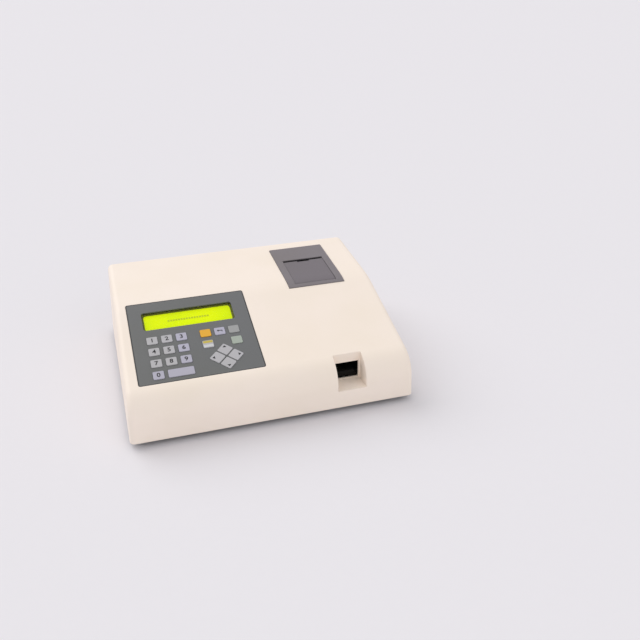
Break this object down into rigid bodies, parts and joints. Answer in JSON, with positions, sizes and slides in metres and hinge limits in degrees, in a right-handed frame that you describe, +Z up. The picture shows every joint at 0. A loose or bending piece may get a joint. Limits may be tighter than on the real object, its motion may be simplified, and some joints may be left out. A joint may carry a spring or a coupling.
{
  "type": "urine analyzer",
  "caption": "Benchtop urine strip analyzer: sloping cream console with display, keypad, pull-out strip tray port and a lidded paper printer.",
  "frame": {"origin": "on the table, under the middle of the housing's outline", "axes": "+Z up, -Y out of the front face where the strip port is, +X to the right seen from the front"},
  "size_m": [0.33, 0.275, 0.1028],
  "materials": {
    "cover_cream": "fine spark texture",
    "base_grey": "moulded, dull",
    "foot_rubber": "dull",
    "screw_steel": "zinc",
    "panel_slate": "satin film",
    "window_clear": "clear acrylic",
    "display_yellow": "backlit film",
    "frame_black": "black",
    "board_green": "solder mask",
    "key_grey": "satin",
    "key_orange": "satin",
    "mat_rubber": "silicone",
    "black_plastic": "moulded",
    "printer_grey": "fine texture",
    "gear_white": "acetal",
    "paper_white": "smooth",
    "platen_rubber": "ground",
    "shaft_steel": "ground",
    "motor_can": "plated",
    "plate_steel": "powder coat",
    "lens_glass": "clear",
    "part_black": "moulded",
    "supply_can": "satin"
  },
  "bodies": {
    "housing": {"top_cover": "cover_cream", "base_pan": "base_grey", "rubber_feet": "foot_rubber", "base_screws": "screw_steel", "control_panel": "panel_slate", "display_window": "window_clear", "display_frame": "frame_black", "display_glass": "display_yellow", "display_board": "board_green", "keypad_mat": "mat_rubber", "keypad_board": "board_green", "tray_guide": "black_plastic", "tray_motor": "motor_can", "optical_head": "black_plastic", "optical_lens": "lens_glass", "optical_board": "board_green", "printer_bezel": "printer_grey", "door_pin": "shaft_steel", "printer_frame": "part_black", "printer_motor": "motor_can", "print_head": "supply_can", "tear_bar": "shaft_steel", "rear_plate": "plate_steel", "rear_plate_screws": "screw_steel", "power_inlet": "part_black", "switch_body": "part_black", "serial_port": "screw_steel", "main_board": "board_green", "board_parts": "part_black", "power_supply": "supply_can"},
    "key_0": {"key_0": "key_grey"},
    "key_1": {"key_1": "key_grey"},
    "key_2": {"key_2": "key_grey"},
    "key_3": {"key_3": "key_grey"},
    "key_4": {"key_4": "key_grey"},
    "key_5": {"key_5": "key_grey"},
    "key_6": {"key_6": "key_grey"},
    "key_7": {"key_7": "key_grey"},
    "key_8": {"key_8": "key_grey"},
    "key_9": {"key_9": "key_grey"},
    "key_wide": {"key_wide": "key_grey"},
    "key_start": {"key_start": "key_orange"},
    "key_upper_middle": {"key_upper_middle": "key_grey"},
    "key_upper_right": {"key_upper_right": "key_grey"},
    "key_lower_left": {"key_lower_left": "key_grey"},
    "key_lower_right": {"key_lower_right": "key_grey"},
    "key_arrow_up": {"key_arrow_up": "key_grey"},
    "key_arrow_down": {"key_arrow_down": "key_grey"},
    "key_arrow_left": {"key_arrow_left": "key_grey"},
    "key_arrow_right": {"key_arrow_right": "key_grey"},
    "strip_tray": {"strip_tray": "black_plastic"},
    "tray_pinion": {"tray_pinion": "gear_white"},
    "paper_door": {"paper_door": "printer_grey"},
    "paper_roll": {"paper_roll": "paper_white", "roll_spindle": "gear_white"},
    "platen": {"platen_roller": "platen_rubber", "platen_shaft": "shaft_steel", "platen_gear": "gear_white"},
    "motor_pinion": {"motor_pinion": "gear_white"},
    "power_rocker": {"power_rocker": "part_black"}
  },
  "joints": [
    {"name": "key_0_press", "type": "slide", "parent": "housing", "child": "key_0", "axis": [0, 0.2656, -0.9641], "range_m": [0, 0.0006], "stiffness_N_per_m": 1500},
    {"name": "key_1_press", "type": "slide", "parent": "housing", "child": "key_1", "axis": [0, 0.2656, -0.9641], "range_m": [0, 0.0006], "stiffness_N_per_m": 1500},
    {"name": "key_2_press", "type": "slide", "parent": "housing", "child": "key_2", "axis": [0, 0.2656, -0.9641], "range_m": [0, 0.0006], "stiffness_N_per_m": 1500},
    {"name": "key_3_press", "type": "slide", "parent": "housing", "child": "key_3", "axis": [0, 0.2656, -0.9641], "range_m": [0, 0.0006], "stiffness_N_per_m": 1500},
    {"name": "key_4_press", "type": "slide", "parent": "housing", "child": "key_4", "axis": [0, 0.2656, -0.9641], "range_m": [0, 0.0006], "stiffness_N_per_m": 1500},
    {"name": "key_5_press", "type": "slide", "parent": "housing", "child": "key_5", "axis": [0, 0.2656, -0.9641], "range_m": [0, 0.0006], "stiffness_N_per_m": 1500},
    {"name": "key_6_press", "type": "slide", "parent": "housing", "child": "key_6", "axis": [0, 0.2656, -0.9641], "range_m": [0, 0.0006], "stiffness_N_per_m": 1500},
    {"name": "key_7_press", "type": "slide", "parent": "housing", "child": "key_7", "axis": [0, 0.2656, -0.9641], "range_m": [0, 0.0006], "stiffness_N_per_m": 1500},
    {"name": "key_8_press", "type": "slide", "parent": "housing", "child": "key_8", "axis": [0, 0.2656, -0.9641], "range_m": [0, 0.0006], "stiffness_N_per_m": 1500},
    {"name": "key_9_press", "type": "slide", "parent": "housing", "child": "key_9", "axis": [0, 0.2656, -0.9641], "range_m": [0, 0.0006], "stiffness_N_per_m": 1500},
    {"name": "key_wide_press", "type": "slide", "parent": "housing", "child": "key_wide", "axis": [0, 0.2656, -0.9641], "range_m": [0, 0.0006], "stiffness_N_per_m": 1500},
    {"name": "key_start_press", "type": "slide", "parent": "housing", "child": "key_start", "axis": [0, 0.2656, -0.9641], "range_m": [0, 0.0006], "stiffness_N_per_m": 1500},
    {"name": "key_upper_middle_press", "type": "slide", "parent": "housing", "child": "key_upper_middle", "axis": [0, 0.2656, -0.9641], "range_m": [0, 0.0006], "stiffness_N_per_m": 1500},
    {"name": "key_upper_right_press", "type": "slide", "parent": "housing", "child": "key_upper_right", "axis": [0, 0.2656, -0.9641], "range_m": [0, 0.0006], "stiffness_N_per_m": 1500},
    {"name": "key_lower_left_press", "type": "slide", "parent": "housing", "child": "key_lower_left", "axis": [0, 0.2656, -0.9641], "range_m": [0, 0.0006], "stiffness_N_per_m": 1500},
    {"name": "key_lower_right_press", "type": "slide", "parent": "housing", "child": "key_lower_right", "axis": [0, 0.2656, -0.9641], "range_m": [0, 0.0006], "stiffness_N_per_m": 1500},
    {"name": "key_arrow_up_press", "type": "slide", "parent": "housing", "child": "key_arrow_up", "axis": [0, 0.2656, -0.9641], "range_m": [0, 0.0006], "stiffness_N_per_m": 1500},
    {"name": "key_arrow_down_press", "type": "slide", "parent": "housing", "child": "key_arrow_down", "axis": [0, 0.2656, -0.9641], "range_m": [0, 0.0006], "stiffness_N_per_m": 1500},
    {"name": "key_arrow_left_press", "type": "slide", "parent": "housing", "child": "key_arrow_left", "axis": [0, 0.2656, -0.9641], "range_m": [0, 0.0006], "stiffness_N_per_m": 1500},
    {"name": "key_arrow_right_press", "type": "slide", "parent": "housing", "child": "key_arrow_right", "axis": [0, 0.2656, -0.9641], "range_m": [0, 0.0006], "stiffness_N_per_m": 1500},
    {"name": "tray_slide", "type": "slide", "parent": "housing", "child": "strip_tray", "axis": [0, -1, 0], "range_m": [0, 0.085]},
    {"name": "tray_pinion_spin", "type": "hinge", "parent": "housing", "child": "tray_pinion", "pos_m": [0.0885, -0.093, 0.02375], "axis": [1, 0, 0], "range_deg": [-1, 545]},
    {"name": "paper_door_hinge", "type": "hinge", "parent": "housing", "child": "paper_door", "pos_m": [0.0887, 0.0125, 0.09614], "axis": [1, 0, 0], "range_deg": [0, 80]},
    {"name": "paper_roll_spin", "type": "hinge", "parent": "housing", "child": "paper_roll", "pos_m": [0.0887, 0.0385, 0.07884], "axis": [1, 0, 0], "continuous": true},
    {"name": "platen_spin", "type": "hinge", "parent": "housing", "child": "platen", "pos_m": [0.0887, 0.079, 0.08404], "axis": [1, 0, 0], "continuous": true},
    {"name": "motor_pinion_spin", "type": "hinge", "parent": "housing", "child": "motor_pinion", "pos_m": [0.0887, 0.08826, 0.07301], "axis": [1, 0, 0], "continuous": true},
    {"name": "power_rocker_tilt", "type": "hinge", "parent": "housing", "child": "power_rocker", "pos_m": [-0.049, 0.1286, 0.037], "axis": [0, 0, -1], "range_deg": [0, 14]}
  ],
  "couplings": [
    {"joint": "tray_pinion_spin", "follows": "tray_slide", "rad_per_m": 111.11},
    {"joint": "motor_pinion_spin", "follows": "platen_spin", "ratio": -1.25}
  ]
}
